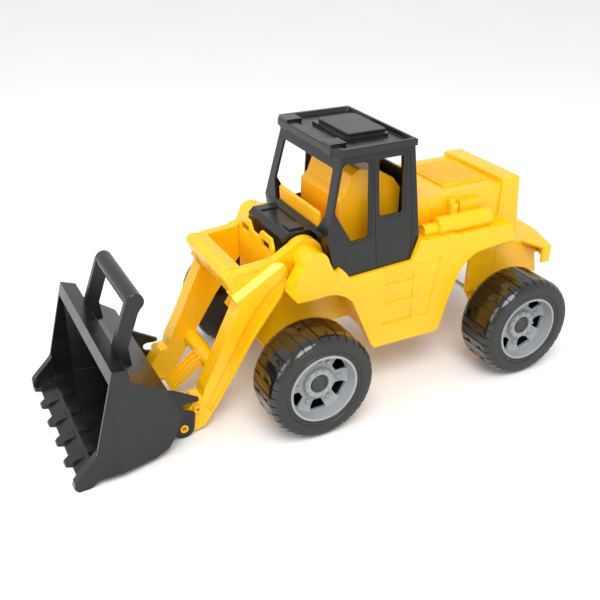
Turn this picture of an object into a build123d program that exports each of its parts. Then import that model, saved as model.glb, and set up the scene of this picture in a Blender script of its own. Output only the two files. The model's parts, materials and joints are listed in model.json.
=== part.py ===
"""Toy wheel loader with a lifting arm, a tipping bucket and free wheels.

Frame: millimetres, +X forward (towards the bucket), +Y the driver's left, +Z up, ground at Z = 0.
"""

import os

from build123d import *

os.makedirs("parts", exist_ok=True)

# ---------------------------------------------------------------- driving dimensions
WHEEL_RADIUS = 61.6
WHEEL_INNER_Y = 81.1
WHEEL_OUTER_Y = 136.1
FRONT_AXLE_X = 50.1
REAR_AXLE_X = -225.1
AXLE_Z = WHEEL_RADIUS
AXLE_RADIUS = 2.5
WHEEL_BORE = 2.56
AXLE_END_Y = 119.2
WALL = 3.0

PIVOT = (34.4, 178.1)
BOSS_RADIUS = 15.4
CUP_BORE = 15.46
CUP_RADIUS = 21.3
CUP_RELIEF = 22.0
CUP_FLOOR_Y = 48.5
ARM_INNER_Y = 45.5
ARM_WEB_Y = 57.0
ARM_OUTER_Y = 66.0

BUCKET_PIN = (185.2, 12.8)
PIN_RADIUS = 4.5
TAB_BORE = 4.56
TAB_INNER_Y = 66.4
TAB_OUTER_Y = 70.2
STOP_PEG = (169.1, 33.4)
STOP_PEG_RADIUS = 4.0

FLANK_Y = 83.6
REAR_CORE_Y = 56.8
FRONT_CORE_Y = 44.0
BONNET_Y = 54.6
BONNET_TOP = 218.0
TAIL_TOP = 224.0
ARM_SLOT_Y = 67.4
CUP_RELIEF_Y = 58.4


def left_plane(y):
    """Side-view plane at a distance left of centre; its extrusions grow towards the centre."""
    return Plane.XZ.offset(-y)


# ================================================================ body shell
FLANK_OUTLINE = [
    (-127.0, 58.5),
    (-43.0, 58.5),
    (-38.3, 63.4),
    (-15.4, 115.3),
    (-11.0, 125.8),
    (-2.2, 133.8),
    (8.4, 139.0),
    (18.0, 140.8),
    (37.4, 139.9),
    (56.0, 139.9),
    (63.5, 149.8),
    (62.0, 160.6),
    (50.6, 178.5),
    (46.5, 188.5),
    (35.0, 193.6),
    (23.4, 189.2),
    (13.4, 168.2),
    (11.0, 166.5),
    (4.8, 169.4),
    (-0.5, 164.0),
    (-7.1, 155.2),
    (-86.3, 159.4),
    (-97.6, 183.6),
    (-100.0, 180.5),
    (-143.0, 180.5),
    (-151.0, 178.5),
    (-225.2, 178.5),
    (-233.6, 156.6),
    (-195.8, 153.1),
    (-178.2, 151.4),
    (-167.6, 145.2),
    (-158.8, 136.4),
    (-151.8, 125.0),
    (-143.0, 101.2),
    (-131.6, 61.6),
]
FLANK_CAVITY = [
    (-126.0, 61.5),
    (-44.5, 61.5),
    (-41.0, 65.0),
    (-18.3, 116.6),
    (-13.5, 128.0),
    (-12.0, 152.2),
    (-86.8, 156.4),
    (-97.5, 177.5),
    (-143.5, 177.5),
    (-151.5, 175.5),
    (-223.2, 175.5),
    (-229.3, 159.9),
    (-195.5, 156.4),
    (-177.0, 154.5),
    (-165.4, 147.4),
    (-156.1, 138.0),
    (-148.9, 126.3),
    (-140.0, 102.1),
    (-129.2, 63.4),
]
SKIRT_FLANGE_Y = 72.0
SKIRT_GAP_TOP = 86.0
LAMP_WALL_X = 66.4
TANK_Y = 68.6
TANK_Z = 187.3
TANK_RADIUS = 10.8
PANEL_RELIEF = 1.3
REAR_FIELD = [(-127.0, 157.0), (-95.0, 153.6), (-99.0, 85.5), (-112.5, 85.5)]
LOUVRE_FRONT_X = -51.5
LOUVRE_REAR_X = -90.5
LOUVRE_EDGES = [152.5, 136.0, 112.0, 85.5]
BODY_SCREWS = [(-118.0, 30.0), (-118.0, -30.0), (-58.0, 30.0), (-58.0, -30.0)]
CAB_SCREWS = [(-78.0, 67.0), (-78.0, -67.0), (-20.0, 67.0), (-20.0, -67.0)]
SCREW_RADIUS = 1.5
SCREW_HOLE = 1.55
SCREW_HEAD_RADIUS = 3.2
FLOOR_BOTTOM = 85.0
FLOOR_TOP = 89.0

with BuildPart() as body_shell:
    with BuildSketch(Plane.XZ):
        Polygon(*FLANK_OUTLINE, align=None)
    extrude(amount=FLANK_Y, both=True)
    # hollow between the skirts and under the rear fenders
    with BuildSketch(Plane.XZ):
        Polygon(*FLANK_CAVITY, align=None)
    extrude(amount=FLANK_Y - WALL, both=True, mode=Mode.SUBTRACT)
    with BuildSketch(Plane.XZ):
        Polygon((-200, 40), (20, 40), (20, SKIRT_GAP_TOP), (-200, SKIRT_GAP_TOP), align=None)
    extrude(amount=SKIRT_FLANGE_Y, both=True, mode=Mode.SUBTRACT)
    with BuildSketch(Plane.XZ):
        Polygon((-45, 40), (20, 40), (20, 128), (-45, 128), align=None)
    extrude(amount=FRONT_CORE_Y + 0.3, both=True, mode=Mode.SUBTRACT)
    # shoulder slots for the arm, with the cowl deck between them
    with BuildSketch(Plane.XZ):
        Polygon((-7.4, 155.3), (10, 159.6), (17, 163), (80, 163), (80, 210), (-7.4, 210), align=None)
    extrude(amount=ARM_SLOT_Y, both=True, mode=Mode.SUBTRACT)
    with BuildSketch(Plane.XZ):
        Polygon((56.0, 130), (56.0, 142), (46, 163.5), (80, 163.5), (80, 130), align=None)
    extrude(amount=ARM_SLOT_Y, both=True, mode=Mode.SUBTRACT)
    # rear core, tail and bonnet
    with BuildSketch(Plane.XZ):
        Polygon((-98, 150), (-98, 178.5), (-255.6, 178.5), (-256.7, 165.6), (-257, 138), (-229.4, 138),
                (-229.4, 82), (-194, 82), (-190, 128), (-190, 150), align=None)
    extrude(amount=REAR_CORE_Y, both=True)
    with BuildSketch(Plane.XZ):
        Polygon((-97.6, 175), (-97.6, BONNET_TOP), (-226.5, BONNET_TOP), (-226.5, 175), align=None)
    extrude(amount=BONNET_Y, both=True)
    with BuildSketch(Plane.XZ):
        Polygon((-226, 175), (-226, TAIL_TOP), (-251, TAIL_TOP), (-255.6, 175), align=None)
    extrude(amount=REAR_CORE_Y, both=True)
    fillet(body_shell.faces().sort_by(Axis.Z)[-1].edges(), 1.6)
    # front core, open towards the underframe
    with BuildSketch(Plane.XZ):
        Polygon((-39, 128), (-39, 155), (-7.4, 155.3), (10, 159.6), (17, 163), (LAMP_WALL_X, 163),
                (LAMP_WALL_X, 128), align=None)
    extrude(amount=FRONT_CORE_Y, both=True)
    # lamp wall with its two open lamp frames
    with BuildSketch(Plane.YZ.offset(LAMP_WALL_X - WALL)):
        Polygon((-44, 150), (44, 150), (44, 189), (39.5, 198.5), (15.5, 198.5), (10.5, 192), (8.5, 189),
                (-8.5, 189), (-10.5, 192), (-15.5, 198.5), (-39.5, 198.5), (-44, 189), align=None)
        with Locations((26, 186.5), (-26, 186.5)):
            Rectangle(19, 8.5, mode=Mode.SUBTRACT)
    extrude(amount=WALL)
    # hollows of the bonnet, the rear core and the front core
    with BuildSketch(Plane.XZ):
        Polygon((-100.6, 150), (-100.6, 215), (-248.4, 215), (-252.6, 176), (-253.7, 150), (-253.9, 70),
                (-180, 70), align=None)
    extrude(amount=BONNET_Y - WALL, both=True, mode=Mode.SUBTRACT)
    with BuildSketch(Plane.XZ):
        Polygon((-140, 90), (-165, 175.4), (-252.6, 175.4), (-253.7, 165), (-254, 70), (-180, 70), align=None)
    extrude(amount=REAR_CORE_Y - WALL, both=True, mode=Mode.SUBTRACT)
    with BuildSketch(Plane.XZ):
        Polygon((-45, 120), (-45, 151.5), (-8, 152), (12, 157), (18, 160), (63.4, 160), (63.4, 120),
                align=None)
    extrude(amount=FRONT_CORE_Y - WALL, both=True, mode=Mode.SUBTRACT)
    # raised ventilation plate on the bonnet
    with BuildSketch(Plane.XY.offset(BONNET_TOP - 0.5)):
        with Locations((-186.5, 0)):
            RectangleRounded(63, 76, 2)
    extrude(amount=3.5)
    chamfer(body_shell.faces().filter_by(Axis.Z).filter_by_position(Axis.Z, 220.9, 221.1).edges(), 1.2)
    # moulded tanks on the shelves with nose caps and filler stubs
    with BuildSketch(Plane.YZ.offset(-198.4)):
        with Locations((TANK_Y, TANK_Z), (-TANK_Y, TANK_Z)):
            Circle(TANK_RADIUS)
    extrude(amount=73.7)
    with BuildSketch(Plane.YZ.offset(-126)):
        with Locations((TANK_Y, TANK_Z - 2), (-TANK_Y, TANK_Z - 2)):
            Circle(TANK_RADIUS - 3.5)
    extrude(amount=19.3)
    with BuildSketch(Plane.XY.offset(190)):
        with Locations((-153, 59), (-153, -59)):
            Rectangle(9, 12)
        with Locations((-176, 58), (-176, -58)):
            Rectangle(27, 8)
    extrude(amount=18)
    with BuildSketch(Plane.XY.offset(190)):
        with Locations((-153, 57.5), (-153, -57.5)):
            Circle(4.5)
    extrude(amount=22)
    # bevelled fronts of the shoulder towers
    for side in (1, -1):
        with BuildSketch(Plane.XY.offset(136)):
            Polygon((65.0, side * ARM_SLOT_Y), (56.4, side * FLANK_Y), (56.4, side * (FLANK_Y + 1)),
                    (80.0, side * (FLANK_Y + 1)), (80.0, side * ARM_SLOT_Y), align=None)
        extrude(amount=70, mode=Mode.SUBTRACT)
    # shoulder bosses that carry the arm cups, with relief around the cups
    for plane in (left_plane(CUP_RELIEF_Y), left_plane(-FRONT_CORE_Y - 0.6)):
        with BuildSketch(plane):
            with Locations(PIVOT):
                Circle(CUP_RELIEF)
        extrude(amount=CUP_RELIEF_Y - FRONT_CORE_Y - 0.6, mode=Mode.SUBTRACT)
    for plane in (left_plane(FLANK_Y), left_plane(-CUP_FLOOR_Y - 0.2)):
        with BuildSketch(plane):
            with Locations(PIVOT):
                Circle(BOSS_RADIUS)
        extrude(amount=FLANK_Y - CUP_FLOOR_Y - 0.2)
    # shallow fields and louvre steps of the flank panels
    with BuildSketch(left_plane(FLANK_Y)):
        Polygon(*REAR_FIELD, align=None)
    extrude(amount=PANEL_RELIEF, mode=Mode.SUBTRACT)
    with BuildSketch(left_plane(-FLANK_Y + PANEL_RELIEF)):
        Polygon(*REAR_FIELD, align=None)
    extrude(amount=PANEL_RELIEF, mode=Mode.SUBTRACT)
    for side in (1, -1):
        for top, bottom in zip(LOUVRE_EDGES, LOUVRE_EDGES[1:]):
            with BuildSketch(Plane.YZ.offset(LOUVRE_REAR_X)):
                Polygon((side * FLANK_Y, top), (side * (FLANK_Y - 0.4), top),
                        (side * (FLANK_Y - 2.0), bottom), (side * FLANK_Y, bottom), align=None)
            extrude(amount=LOUVRE_FRONT_X - LOUVRE_REAR_X, mode=Mode.SUBTRACT)
    # screw posts under the deck and clearance holes for the cab screws
    with BuildSketch(Plane.XY.offset(FLOOR_TOP)):
        with Locations(*BODY_SCREWS):
            Circle(4)
    extrude(until=Until.NEXT)
    with BuildSketch(Plane.XY.offset(FLOOR_TOP)):
        with Locations(*BODY_SCREWS):
            Circle(SCREW_HOLE)
    extrude(amount=16, mode=Mode.SUBTRACT)
    with BuildSketch(Plane.XY.offset(140)):
        with Locations(*CAB_SCREWS):
            Circle(SCREW_HOLE)
    extrude(amount=30, mode=Mode.SUBTRACT)

# ================================================================ underframe
FRONT_CARRIER = [
    (-36.0, FLOOR_BOTTOM),
    (10.0, 82.0),
    (34.0, 52.0),
    (66.0, 52.0),
    (81.9, 79.0),
    (88.2, 86.9),
    (66.4, 118.0),
    (66.4, 127.8),
    (-36.0, 127.8),
]
AXLE_TUBE_RADIUS = 7.0
AXLE_TUBE_END_Y = 80.6
WING_TOP = 136.4
WING_BOTTOM = 115.3
WING_PLAN = [
    (-232.0, -56.6),
    (-270.0, -56.8),
    (-281.6, -84.0),
    (-292.6, -84.5),
    (-300.0, -62.7),
    (-308.4, -38.6),
    (-311.0, -12.0),
    (-311.0, 12.0),
    (-308.4, 38.6),
    (-300.0, 62.7),
    (-292.6, 84.5),
    (-281.6, 84.0),
    (-270.0, 56.8),
    (-232.0, 56.6),
]
WING_HOLLOW = [
    (-240.0, -81.3),
    (-290.6, -81.3),
    (-297.0, -61.8),
    (-305.4, -37.8),
    (-308.0, -11.8),
    (-308.0, 11.8),
    (-305.4, 37.8),
    (-297.0, 61.8),
    (-290.6, 81.3),
    (-240.0, 81.3),
]

with BuildPart() as underframe:
    with BuildSketch(Plane.XZ):
        Polygon(*FRONT_CARRIER, align=None)
    extrude(amount=FRONT_CORE_Y, both=True)
    with BuildSketch(Plane.XZ):
        Polygon((-33, 88), (12, 85), (35.5, 55), (64.3, 55), (79.4, 80.5), (84.5, 87), (63.4, 117),
                (63.4, 130), (-33, 130), align=None)
    extrude(amount=FRONT_CORE_Y - WALL, both=True, mode=Mode.SUBTRACT)
    # floor plate between the skirts
    with BuildSketch(Plane.XY.offset(FLOOR_BOTTOM)):
        with Locations((-84.5, 0)):
            Rectangle(99, 108)
    extrude(amount=FLOOR_TOP - FLOOR_BOTTOM)
    # riser and roof of the rear channel
    with BuildSketch(Plane.XZ):
        Polygon((-134, FLOOR_BOTTOM), (-129, FLOOR_BOTTOM), (-151, 150), (-229.8, 150), (-229.8, 146),
                (-154, 146), align=None)
    extrude(amount=50, both=True)
    # rear channel walls that carry the axle
    with BuildSketch(left_plane(53.4)):
        Polygon((-194, 146), (-192, 84), (-208, 52), (-242, 52), (-252, 88), (-252, 136), (-229.8, 136),
                (-229.8, 146), align=None)
    extrude(amount=3.4)
    with BuildSketch(left_plane(-50)):
        Polygon((-194, 146), (-192, 84), (-208, 52), (-242, 52), (-252, 88), (-252, 136), (-229.8, 136),
                (-229.8, 146), align=None)
    extrude(amount=3.4)
    with BuildSketch(Plane.XZ):
        Polygon((-194, 150), (-192, 146), (-229.8, 146), (-229.8, 150), align=None)
    extrude(amount=53.4, both=True)
    with BuildSketch(left_plane(REAR_CORE_Y)):
        Polygon((-229.8, 137.6), (-229.8, 84), (-244, 84), (-300, 88), (-294, WING_BOTTOM + 1),
                (-294, 137), (-257.3, 137), (-257.3, 137.6), align=None)
    extrude(amount=6.8)
    with BuildSketch(left_plane(-50)):
        Polygon((-229.8, 137.6), (-229.8, 84), (-244, 84), (-300, 88), (-294, WING_BOTTOM + 1),
                (-294, 137), (-257.3, 137), (-257.3, 137.6), align=None)
    extrude(amount=6.8)
    # rear wing with a hollow underside
    with BuildSketch(Plane.XY.offset(WING_BOTTOM)):
        Polygon(*WING_PLAN, align=None)
    extrude(amount=WING_TOP - WING_BOTTOM)
    with BuildSketch(Plane.XY.offset(WING_BOTTOM)):
        Polygon(*WING_HOLLOW, align=None)
        Rectangle(700, 2 * REAR_CORE_Y, mode=Mode.SUBTRACT)
    extrude(amount=WING_TOP - WALL - WING_BOTTOM, mode=Mode.SUBTRACT)
    with BuildSketch(Plane.XY.offset(WING_BOTTOM)):
        Polygon(*WING_HOLLOW, align=None)
        with Locations((0, 75), (0, -75)):
            Rectangle(700, 50, mode=Mode.SUBTRACT)
    extrude(amount=WING_TOP - WALL - WING_BOTTOM, mode=Mode.SUBTRACT)
    # axle tubes
    with BuildSketch(left_plane(AXLE_TUBE_END_Y)):
        with Locations((FRONT_AXLE_X, AXLE_Z), (REAR_AXLE_X, AXLE_Z)):
            Circle(AXLE_TUBE_RADIUS)
    extrude(amount=AXLE_TUBE_END_Y - FRONT_CORE_Y + WALL)
    with BuildSketch(left_plane(-FRONT_CORE_Y + WALL)):
        with Locations((FRONT_AXLE_X, AXLE_Z), (REAR_AXLE_X, AXLE_Z)):
            Circle(AXLE_TUBE_RADIUS)
    extrude(amount=AXLE_TUBE_END_Y - FRONT_CORE_Y + WALL)
    with BuildSketch(Plane.XZ):
        with Locations((FRONT_AXLE_X, AXLE_Z), (REAR_AXLE_X, AXLE_Z)):
            Circle(AXLE_RADIUS)
    extrude(amount=AXLE_TUBE_END_Y + 1, both=True, mode=Mode.SUBTRACT)
    # countersunk screw holes
    with Locations(Plane.XY.offset(FLOOR_BOTTOM)):
        with Locations(*[(x, y, 0) for x, y in BODY_SCREWS]):
            Cylinder(SCREW_HOLE, 20, mode=Mode.SUBTRACT)
            Cone(SCREW_HEAD_RADIUS + 0.35, SCREW_HOLE, 2.2, align=(Align.CENTER, Align.CENTER, Align.MIN),
                 mode=Mode.SUBTRACT)

# ================================================================ screws
with BuildPart() as body_screws:
    with Locations(*[(x, y, FLOOR_BOTTOM + 0.2) for x, y in BODY_SCREWS]):
        Cone(SCREW_HEAD_RADIUS, SCREW_RADIUS, 1.9, align=(Align.CENTER, Align.CENTER, Align.MIN))
        Cylinder(SCREW_RADIUS, 16, align=(Align.CENTER, Align.CENTER, Align.MIN))
        Box(3.4, 0.7, 0.8, align=(Align.CENTER, Align.CENTER, Align.MIN), mode=Mode.SUBTRACT)
        Box(0.7, 3.4, 0.8, align=(Align.CENTER, Align.CENTER, Align.MIN), mode=Mode.SUBTRACT)

CAB_SCREW_TOP = 172.0

# ================================================================ cab
CAB_LEAN = 0.088
CAB_HALF_WIDTH_AT_GROUND = 93.28
CAB_OUTLINE = [
    (-86.3, 159.8),
    (-7.5, 155.6),
    (-1.0, 164.5),
    (4.8, 170.0),
    (11.4, 167.2),
    (18.1, 201.5),
    (-1.0, 289.8),
    (-89.3, 288.9),
    (-97.1, 183.9),
]
CAB_CAVITY = [
    (-83.9, 150.0),
    (-12.0, 150.0),
    (-10.0, 164.0),
    (-3.0, 172.0),
    (8.4, 174.0),
    (15.0, 201.3),
    (-3.0, 286.0),
    (-86.4, 286.0),
    (-94.0, 184.0),
    (-84.0, 163.0),
]
REAR_WINDOW = [(-76.2, 277.8), (-45.2, 277.8), (-46.0, 215.8), (-75.0, 215.8)]
FRONT_WINDOW = [(-32.7, 276.9), (-2.6, 277.8), (8.4, 228.4), (-11.3, 193.9), (-32.5, 195.6)]
ROOF_BOTTOM = 287.6
ROOF_TOP = 294.9
ROOF_PANEL_Z = 290.6
HATCH_TOP = 297.4
GROOVE_DEPTH = 0.8
CAB_END_CORNERS = [(-1, 150.0), (1, 150.0), (1, 300.0), (-1, 300.0)]


def cab_half_width(z):
    """Half width of the leaning cab sides at a height."""
    return CAB_HALF_WIDTH_AT_GROUND - CAB_LEAN * z


with BuildPart() as cab_shell:
    with BuildSketch(Plane.XZ):
        Polygon(*CAB_OUTLINE, align=None)
    extrude(amount=90, both=True)
    with BuildSketch(Plane.YZ.offset(-120)):
        Polygon((-cab_half_width(150), 150), (cab_half_width(150), 150),
                (cab_half_width(300), 300), (-cab_half_width(300), 300), align=None)
    extrude(amount=160, mode=Mode.INTERSECT)
with BuildPart() as cab_room:
    with BuildSketch(Plane.XZ):
        Polygon(*CAB_CAVITY, align=None)
    extrude(amount=90, both=True)
    with BuildSketch(Plane.YZ.offset(-120)):
        Polygon((-cab_half_width(150) + WALL, 150), (cab_half_width(150) - WALL, 150),
                (cab_half_width(300) - WALL, 300), (-cab_half_width(300) + WALL, 300), align=None)
    extrude(amount=160, mode=Mode.INTERSECT)
with cab_shell:
    add(cab_room.part, mode=Mode.SUBTRACT)
    # side windows and door seams
    with BuildSketch(Plane.XZ) as side_windows:
        Polygon(*REAR_WINDOW, align=None)
        Polygon(*FRONT_WINDOW, align=None)
        fillet(side_windows.vertices(), 3.5)
    extrude(amount=100, both=True, mode=Mode.SUBTRACT)
    # windscreen opening with gusseted lower corners, and the rear window
    with BuildSketch(Plane.YZ.offset(-30)) as windscreen:
        Polygon((-56, 271.5), (56, 271.5), (60.5, 224), (50, 204.5), (-50, 204.5), (-60.5, 224), align=None)
        fillet(windscreen.vertices(), 2)
    extrude(amount=70, mode=Mode.SUBTRACT)
    with BuildSketch(Plane.YZ.offset(-110)) as rear_window:
        with Locations((0, 265.5)):
            Rectangle(92, 23)
        fillet(rear_window.vertices(), 2.5)
    extrude(amount=40, mode=Mode.SUBTRACT)
    # roof slab with a raised border, hatch and lamp housings
    with BuildSketch(Plane.XY.offset(ROOF_BOTTOM)):
        Polygon((-89.8, -71.6), (-89.8, 71.6), (1.0, 73.5), (8.8, 60), (8.8, -60), (1.0, -73.5), align=None)
    extrude(amount=ROOF_TOP - ROOF_BOTTOM)
    chamfer(cab_shell.faces().sort_by(Axis.Z)[-1].edges(), 1.0)
    with BuildSketch(Plane.XY.offset(ROOF_PANEL_Z)) as roof_panel:
        Polygon((-85.0, -66.0), (-85.0, 66.0), (-4, 66.0), (-4, -66.0), align=None)
        fillet(roof_panel.vertices(), 3)
    extrude(amount=ROOF_TOP - ROOF_PANEL_Z, taper=-20, mode=Mode.SUBTRACT)
    with BuildSketch(Plane.XY.offset(ROOF_PANEL_Z - 0.5)):
        with Locations((-49, 0)):
            RectangleRounded(54, 78, 4)
    extrude(amount=3.5)
    with BuildSketch(Plane.XY.offset(ROOF_PANEL_Z + 2)):
        with Locations((-51.2, 0)):
            RectangleRounded(48.5, 68, 5)
    extrude(amount=HATCH_TOP - ROOF_PANEL_Z - 2)
    chamfer(cab_shell.faces().sort_by(Axis.Z)[-1].edges(), 0.8)
    with BuildSketch(Plane.XY.offset(285.5)):
        with Locations((-1.7, 49), (-1.7, -49)):
            RectangleRounded(19, 18.5, 1)
    extrude(amount=12)
    # cowl in front of the windscreen
    with BuildSketch(Plane.XZ):
        Polygon((14, 163.4), (51, 163.4), (54.4, 196.5), (48.5, 202.4), (20, 202.4), (14, 205), align=None)
    extrude(amount=43.4, both=True)
    with BuildSketch(Plane.XZ):
        Polygon((10, 163), (48.2, 163), (51.3, 195.4), (47.2, 199.4), (10, 199.4), align=None)
    extrude(amount=40.4, both=True, mode=Mode.SUBTRACT)
    with BuildSketch(Plane.XY.offset(200.9)):
        with Locations((34.5, -7)):
            Rectangle(23, 46)
    extrude(amount=3, mode=Mode.SUBTRACT)
    with BuildSketch(Plane.XY.offset(201)):
        with Locations((34.5, 29.5)):
            Rectangle(17, 16)
    extrude(amount=3.2)
    with BuildSketch(Plane.XZ):
        Polygon((14.6, 204.6), (21.5, 202.2), (17.5, 200.8), (14.6, 201.6), align=None)
    extrude(amount=64, both=True)
    # relief of the front wall around the arm cups
    for plane in (left_plane(ARM_SLOT_Y), left_plane(-FRONT_CORE_Y - 0.6)):
        with BuildSketch(plane):
            with Locations(PIVOT):
                Circle(CUP_RELIEF)
        extrude(amount=ARM_SLOT_Y - FRONT_CORE_Y - 0.6, mode=Mode.SUBTRACT)
with BuildPart() as cab_posts:
    with Locations(*[(x, y, 159.6 if x < -50 else 156.6) for x, y in CAB_SCREWS]):
        Box(9, 20, 28, align=(Align.CENTER, Align.CENTER, Align.MIN))
    with BuildSketch(Plane.YZ.offset(-120)):
        Polygon((-cab_half_width(150) + 1, 150), (cab_half_width(150) - 1, 150),
                (cab_half_width(300) - 1, 300), (-cab_half_width(300) + 1, 300), align=None)
    extrude(amount=160, mode=Mode.INTERSECT)
# grooves around the side windows and along the door
with BuildPart() as cab_grooves:
    with BuildSketch(Plane.XZ):
        for window in (REAR_WINDOW, FRONT_WINDOW):
            with BuildSketch(Plane.XZ) as groove_ring:
                Polygon(*window, align=None)
                offset(amount=3.4)
                Polygon(*window, align=None, mode=Mode.SUBTRACT)
            add(groove_ring.sketch)
        Polygon((-37.6, 281.0), (-38.8, 281.0), (-42.5, 161.4), (-41.3, 161.4), align=None)
        Polygon((-82.0, 281.2), (-83.2, 281.2), (-88.6, 200.0), (-86.1, 161.4), (-84.9, 161.4),
                (-87.4, 200.0), align=None)
    extrude(amount=100, both=True)
    with BuildSketch(Plane.YZ.offset(-120)):
        Polygon(*[(side * (cab_half_width(z) - GROOVE_DEPTH), z) for side, z in CAB_END_CORNERS], align=None)
    extrude(amount=160, mode=Mode.SUBTRACT)
with cab_shell:
    add(cab_grooves.part, mode=Mode.SUBTRACT)
    add(cab_posts.part)
    with BuildSketch(Plane.XY.offset(150)):
        with Locations(*CAB_SCREWS):
            Circle(SCREW_HOLE)
    extrude(amount=CAB_SCREW_TOP + 1 - 150, mode=Mode.SUBTRACT)

with BuildPart() as cab_screws:
    with Locations(*[(x, y, 0) for x, y in CAB_SCREWS]):
        with Locations((0, 0, 152.0)):
            Cylinder(SCREW_RADIUS, CAB_SCREW_TOP - 152, align=(Align.CENTER, Align.CENTER, Align.MIN))
        with Locations((0, 0, 150.0)):
            Cylinder(SCREW_HEAD_RADIUS, 2.0, align=(Align.CENTER, Align.CENTER, Align.MIN))
            Box(3.4, 0.7, 0.8, align=(Align.CENTER, Align.CENTER, Align.MIN), mode=Mode.SUBTRACT)
            Box(0.7, 3.4, 0.8, align=(Align.CENTER, Align.CENTER, Align.MIN), mode=Mode.SUBTRACT)

# ================================================================ cab interior
SEAT_PROFILE = [
    (-82.5, 162.0),
    (-90.2, 180.0),
    (-90.2, 232.0),
    (-81.0, 244.0),
    (-61.0, 256.0),
    (-36.0, 261.0),
    (-28.0, 254.0),
    (-21.0, 235.0),
    (-13.0, 228.0),
    (-13.0, 162.0),
]

with BuildPart() as cab_interior:
    with BuildSketch(Plane.XY.offset(160.1)):
        with Locations((-47.5, 0)):
            Rectangle(71, 112)
    extrude(amount=2.5)
    with BuildSketch(Plane.XZ) as seat_side:
        Polygon(*SEAT_PROFILE, align=None)
        fillet(seat_side.vertices().sort_by(Axis.Y)[4:], 4)
    extrude(amount=44, both=True)
    with BuildSketch(Plane.XZ) as seat_hollow:
        Polygon(*SEAT_PROFILE, align=None)
        offset(amount=-2.5, kind=Kind.INTERSECTION)
        with Locations((-48, 158)):
            Rectangle(62, 20)
    extrude(amount=41.5, both=True, mode=Mode.SUBTRACT)
    # dash panel that rises to the windscreen
    with BuildSketch(Plane.XZ):
        Polygon((-14, 160.1), (-9, 172), (4.5, 180), (9.5, 203), (10.6, 221.5), (13.4, 219.5), (12.7, 203),
                (7.2, 177.6), (-7.5, 170), (-12, 160.1), align=None)
    extrude(amount=47, both=True)

# ================================================================ axles and nuts
for name, x in (("front_axle", FRONT_AXLE_X), ("rear_axle", REAR_AXLE_X)):
    with BuildPart() as axle:
        with BuildSketch(Plane.XZ):
            with Locations((x, AXLE_Z)):
                Circle(AXLE_RADIUS)
        extrude(amount=AXLE_END_Y, both=True)
        chamfer(axle.edges(), 0.5)
    axle.part.label = name
    export_step(axle.part, f"parts/{name}.step")
    with BuildPart() as nuts:
        with BuildSketch(left_plane(118.5)):
            with Locations((x, AXLE_Z)):
                Circle(6.5)
                Circle(AXLE_RADIUS, mode=Mode.SUBTRACT)
        extrude(amount=2.5)
        with BuildSketch(left_plane(-116)):
            with Locations((x, AXLE_Z)):
                Circle(6.5)
                Circle(AXLE_RADIUS, mode=Mode.SUBTRACT)
        extrude(amount=2.5)
    nuts.part.label = f"{name}_nuts"
    export_step(nuts.part, f"parts/{name}_nuts.step")

# ================================================================ wheels
RIM_RADIUS = 39.8
RIM_INNER_RADIUS = 37.0
HUB_RADIUS = 17.2
HUB_FACE_Y = 124.0
DISH_Y = 118.0
CAP_RADIUS = 10.4
CAP_POCKET_Y = 115.5
WINDOW_COUNT = 6
REAR_RIM_TURN = 20

TYRE_PROFILE = [
    (RIM_RADIUS, 134.0),
    (41.0, 135.2),
    (52.0, 136.1),
    (57.0, 135.0),
    (60.4, 131.0),
    (WHEEL_RADIUS, 127.0),
    (WHEEL_RADIUS, 90.0),
    (60.4, 86.0),
    (57.0, 82.2),
    (52.0, WHEEL_INNER_Y),
    (46.0, WHEEL_INNER_Y),
    (46.0, 84.4),
    (51.5, 84.6),
    (55.0, 87.0),
    (56.5, 90.0),
    (56.5, 127.0),
    (54.0, 131.0),
    (50.0, 132.2),
    (42.5, 131.0),
    (42.5, 122.0),
    (RIM_RADIUS, 122.0),
]
RIM_PROFILE = [
    (RIM_INNER_RADIUS, 134.8),
    (39.4, 134.8),
    (RIM_RADIUS, 134.0),
    (RIM_RADIUS, 92.0),
    (RIM_INNER_RADIUS, 92.0),
    (RIM_INNER_RADIUS, 117.0),
    (30.0, 114.6),
    (HUB_RADIUS, 114.6),
    (9.0, 112.0),
    (7.0, 81.4),
    (WHEEL_BORE, 81.4),
    (WHEEL_BORE, CAP_POCKET_Y),
    (CAP_RADIUS, CAP_POCKET_Y),
    (CAP_RADIUS, 123.0),
    (CAP_RADIUS + 1.0, HUB_FACE_Y),
    (HUB_RADIUS - 1.2, HUB_FACE_Y),
    (HUB_RADIUS, HUB_FACE_Y - 1.2),
    (HUB_RADIUS + 1.0, DISH_Y + 1),
    (21.0, DISH_Y),
    (30.0, DISH_Y),
    (35.4, 121.5),
    (36.6, 130.0),
]
CAP_PROFILE = [
    (0.0, 119.6),
    (8.8, 119.6),
    (8.8, 116.0),
    (CAP_RADIUS - 0.05, 116.0),
    (CAP_RADIUS - 0.05, 123.6),
    (9.4, 124.8),
    (7.6, 124.8),
    (7.0, 123.8),
    (0.0, 124.2),
]


def revolve_about_axle(profile):
    """Solid of revolution about the Y axis through the origin; the profile is (radius, y)."""
    with BuildPart() as turned:
        with BuildSketch(Plane.XY):
            Polygon(*profile, align=None)
        revolve(axis=Axis.Y)
    return turned.part


with BuildPart() as rim_master:
    add(revolve_about_axle(RIM_PROFILE))
    with BuildSketch(left_plane(WHEEL_OUTER_Y)) as rim_windows:
        with PolarLocations(26.5, WINDOW_COUNT, start_angle=30):
            Polygon((-4.0, -4.6), (8.0, -10.4), (8.0, 10.4), (-4.0, 4.6), align=None)
        fillet(rim_windows.vertices(), 2)
    extrude(amount=26, mode=Mode.SUBTRACT)
    with BuildSketch(left_plane(DISH_Y + 2.2)):
        with PolarLocations(24.5, WINDOW_COUNT):
            Circle(2.4)
    extrude(amount=3)

tyre_master = revolve_about_axle(TYRE_PROFILE)
cap_master = revolve_about_axle(CAP_PROFILE)

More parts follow.
